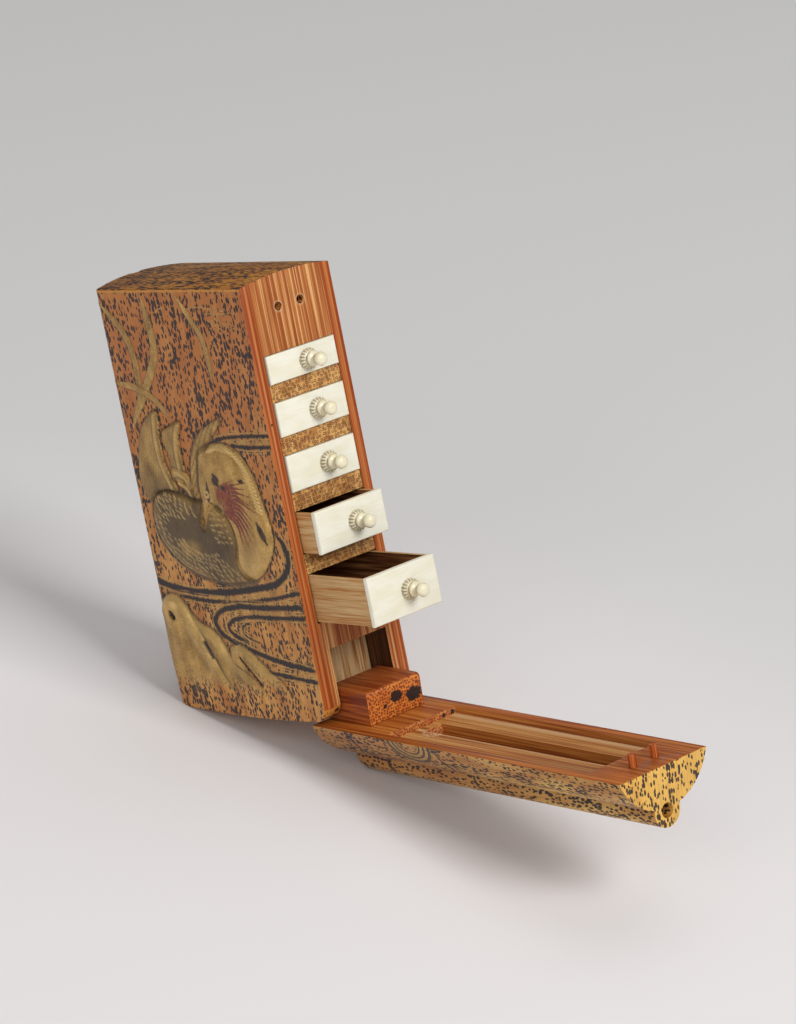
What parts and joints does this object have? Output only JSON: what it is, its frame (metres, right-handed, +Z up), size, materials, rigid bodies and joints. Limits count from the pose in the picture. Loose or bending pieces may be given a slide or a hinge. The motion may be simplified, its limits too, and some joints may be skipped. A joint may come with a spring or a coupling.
{
  "type": "inro case",
  "caption": "Tall flat bamboo case standing open, with a half-moon door lying forward, knobbed ivory-fronted drawers, cord runners and a raised gold lacquer duck.",
  "frame": {"origin": "middle of the part's footprint on the surface that it stands on, in the open pose", "axes": "+X from the leaning case towards the free end of the open door, +Y along the hinge pin towards the plainer broad face, +Z up"},
  "size_m": [0.1576, 0.0242, 0.0988],
  "materials": {
    "bamboo_skin": "lacquered",
    "bamboo_end_grain": "satin",
    "bamboo_heart": "satin",
    "drawer_wood": "satin",
    "ivory": "polished"
  },
  "bodies": {
    "case": {"case_body": "bamboo_skin", "divider_1": "bamboo_end_grain", "divider_2": "bamboo_end_grain", "divider_3": "bamboo_end_grain", "divider_4": "bamboo_end_grain", "hinge_pin": "bamboo_heart", "drawer_1_box": "drawer_wood", "drawer_1_front": "ivory", "drawer_1_knob": "ivory", "drawer_2_box": "drawer_wood", "drawer_2_front": "ivory", "drawer_2_knob": "ivory", "drawer_3_box": "drawer_wood", "drawer_3_front": "ivory", "drawer_3_knob": "ivory"},
    "door": {"door": "bamboo_skin", "hinge_block": "bamboo_heart", "locating_pin_near": "bamboo_heart", "locating_pin_far": "bamboo_heart"},
    "drawer_4": {"drawer_4_box": "drawer_wood", "drawer_4_front": "ivory", "drawer_4_knob": "ivory"},
    "drawer_5": {"drawer_5_box": "drawer_wood", "drawer_5_front": "ivory", "drawer_5_knob": "ivory"}
  },
  "joints": [
    {"name": "door_hinge", "type": "hinge", "parent": "case", "child": "door", "pos_m": [-0.00851, 0.00052, 0.01416], "axis": [0, 1, 0], "range_deg": [-92.9, 0]},
    {"name": "drawer_4_slide", "type": "slide", "parent": "case", "child": "drawer_4", "axis": [0.9567, 0, 0.2912], "range_m": [-0.0052, 0]},
    {"name": "drawer_5_slide", "type": "slide", "parent": "case", "child": "drawer_5", "axis": [0.9567, 0, 0.2912], "range_m": [-0.01755, 0]}
  ],
  "couplings": [
    {"joint": "drawer_4_slide", "follows": "door_hinge", "m_per_rad": 0.0032069},
    {"joint": "drawer_5_slide", "follows": "door_hinge", "m_per_rad": 0.010823}
  ]
}
